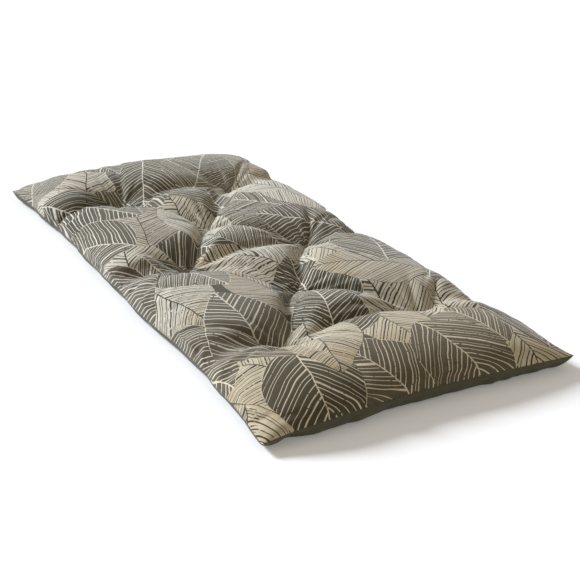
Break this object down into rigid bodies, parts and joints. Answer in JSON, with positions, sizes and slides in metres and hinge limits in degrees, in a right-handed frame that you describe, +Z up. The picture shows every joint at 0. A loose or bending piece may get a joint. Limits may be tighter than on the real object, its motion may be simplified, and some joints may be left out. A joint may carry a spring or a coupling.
{
  "type": "futon mattress",
  "caption": "Thin rectangular floor mattress with a leaf-printed top, a plain underside, a knife-edge seam and deep tufts tied right through.",
  "frame": {"origin": "middle of the underside, in the plane that rests on the floor", "axes": "+X across the width, +Y along the length towards the end away from the hand-closed opening, +Z up through the tufts"},
  "size_m": [0.6, 1.2, 0.0861],
  "materials": {
    "printed_canvas": "plain-woven cotton canvas, printed all over with leaves in taupe, beige and ochre, matt",
    "plain_canvas": "plain-woven cotton canvas, piece-dyed dark olive grey, matt",
    "cotton_wadding": "loose carded cotton wadding, off-white, matt",
    "felted_fibre": "dense felted fibre batt, natural cream, matt",
    "sewing_thread": "spun polyester sewing thread, olive grey, slight sheen",
    "tufting_twine": "doubled and waxed tufting twine, grey, slight sheen"
  },
  "bodies": {
    "root": {"top_panel": "printed_canvas", "base_panel": "plain_canvas", "top_wadding": "cotton_wadding", "filling_core": "felted_fibre", "base_wadding": "cotton_wadding", "perimeter_thread": "sewing_thread", "closing_stitches": "sewing_thread", "tuft_tie_1": "tufting_twine", "tuft_tie_2": "tufting_twine", "tuft_tie_3": "tufting_twine", "tuft_tie_4": "tufting_twine", "tuft_tie_5": "tufting_twine", "tuft_tie_6": "tufting_twine", "tuft_tie_7": "tufting_twine", "tuft_tie_8": "tufting_twine"}
  },
  "joints": []
}
